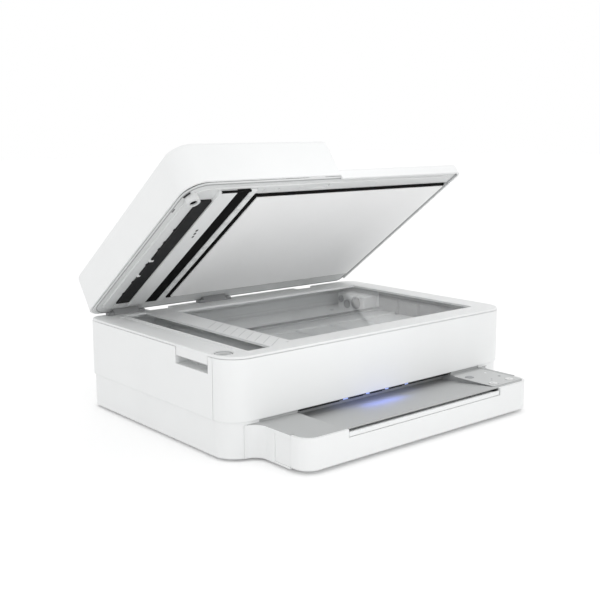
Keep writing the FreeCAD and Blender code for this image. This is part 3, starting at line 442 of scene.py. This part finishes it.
# Even white surround, which the camera, mirrors and glass see as plain white.
SKY_LEVEL = 0.96
world = bpy.data.worlds.new("surround")
bpy.context.scene.world = world
world.use_nodes = True
wn, wl = world.node_tree.nodes, world.node_tree.links
sky = wn["Background"]
sky.inputs["Color"].default_value = [1, 1, 1, 1]
sky.inputs["Strength"].default_value = SKY_LEVEL
plain = wn.new("ShaderNodeBackground")
plain.inputs["Color"].default_value = [1, 1, 1, 1]
rays = wn.new("ShaderNodeLightPath")
choose = wn.new("ShaderNodeMixShader")
seen = rays.outputs["Is Camera Ray"]
for kind in ("Is Glossy Ray", "Is Transmission Ray"):
    either = wn.new("ShaderNodeMath")
    either.operation = "MAXIMUM"
    wl.new(seen, either.inputs[0])
    wl.new(rays.outputs[kind], either.inputs[1])
    seen = either.outputs["Value"]
wl.new(seen, choose.inputs["Fac"])
wl.new(sky.outputs["Background"], choose.inputs[1])
wl.new(plain.outputs["Background"], choose.inputs[2])
wl.new(choose.outputs["Shader"], wn["World Output"].inputs["Surface"])


def aimed(at, aim):
    """Turn of a lamp that stands at one point and looks at another."""
    return (Vector(aim) - Vector(at)).to_track_quat("-Z", "Y").to_euler()


def softbox(name, at, aim, width, power):
    """A round soft lamp; places and width in metres, power in watts."""
    lamp = bpy.data.lights.new(name, "AREA")
    lamp.shape = "DISK"
    lamp.size = width
    lamp.energy = power
    obj = bpy.data.objects.new(name, lamp)
    bpy.context.collection.objects.link(obj)
    obj.location = at
    obj.rotation_euler = aimed(at, aim)


softbox("key", at=(-0.3, -1.6, 2.0), aim=(0, 0, 0.1), width=1.4, power=1.0)
softbox("fill", at=(1.8, -1.2, 1.2), aim=(0, 0, 0.1), width=1.6, power=2.0)
softbox("low_fill", at=(-0.2, -1.5, 0.35), aim=(0, 0.05, 0.2), width=0.8, power=0.6)

# A narrow lamp on the pad under the open lid.
PAD_LAMP_AT, PAD_LAMP_AIM = (-0.55, -1.25, 0.12), (0.02, 0.07, 0.21)
pad_lamp = bpy.data.lights.new("pad_lamp", "SPOT")
pad_lamp.energy = 18
pad_lamp.spot_size = math.radians(17)
pad_lamp.spot_blend = 1
pad_lamp.shadow_soft_size = 0.15
pad_light = bpy.data.objects.new("pad_lamp", pad_lamp)
bpy.context.collection.objects.link(pad_light)
pad_light.location = PAD_LAMP_AT
pad_light.rotation_euler = aimed(PAD_LAMP_AT, PAD_LAMP_AIM)

# The blue glow of the output slot on the tray.
glow = bpy.data.lights.new("slot_glow", "AREA")
glow.shape = "ELLIPSE"
glow.size = 0.07
glow.size_y = 0.012
glow.energy = 0.005
glow.color = (0.12, 0.22, 1.0)
glow_lamp = bpy.data.objects.new("slot_glow", glow)
bpy.context.collection.objects.link(glow_lamp)
glow_lamp.location = (-0.014, -0.118, 0.041)

# Camera at the photo's angle: low, from the front left.
CAMERA_AT = (-0.75464, -0.84978, 0.33304)
AZ, EL, ROLL = math.radians(-39.45), math.radians(8.82), math.radians(-0.28)
forward = Vector((-math.sin(AZ) * math.cos(EL), math.cos(AZ) * math.cos(EL), -math.sin(EL)))
right = forward.cross(Vector((0, 0, 1))).normalized()
up = right.cross(forward)
right, up = right * math.cos(ROLL) + up * math.sin(ROLL), up * math.cos(ROLL) - right * math.sin(ROLL)
view = bpy.data.cameras.new("camera")
camera = bpy.data.objects.new("camera", view)
bpy.context.collection.objects.link(camera)
turn = Matrix((right, up, -forward)).transposed().to_4x4()
camera.matrix_world = Matrix.Translation(CAMERA_AT) @ turn
view.sensor_width = 36
view.lens = 57.74
view.shift_x = 0.0238
view.shift_y = -0.0386
bpy.context.scene.camera = camera
bpy.context.scene.view_settings.view_transform = "Standard"
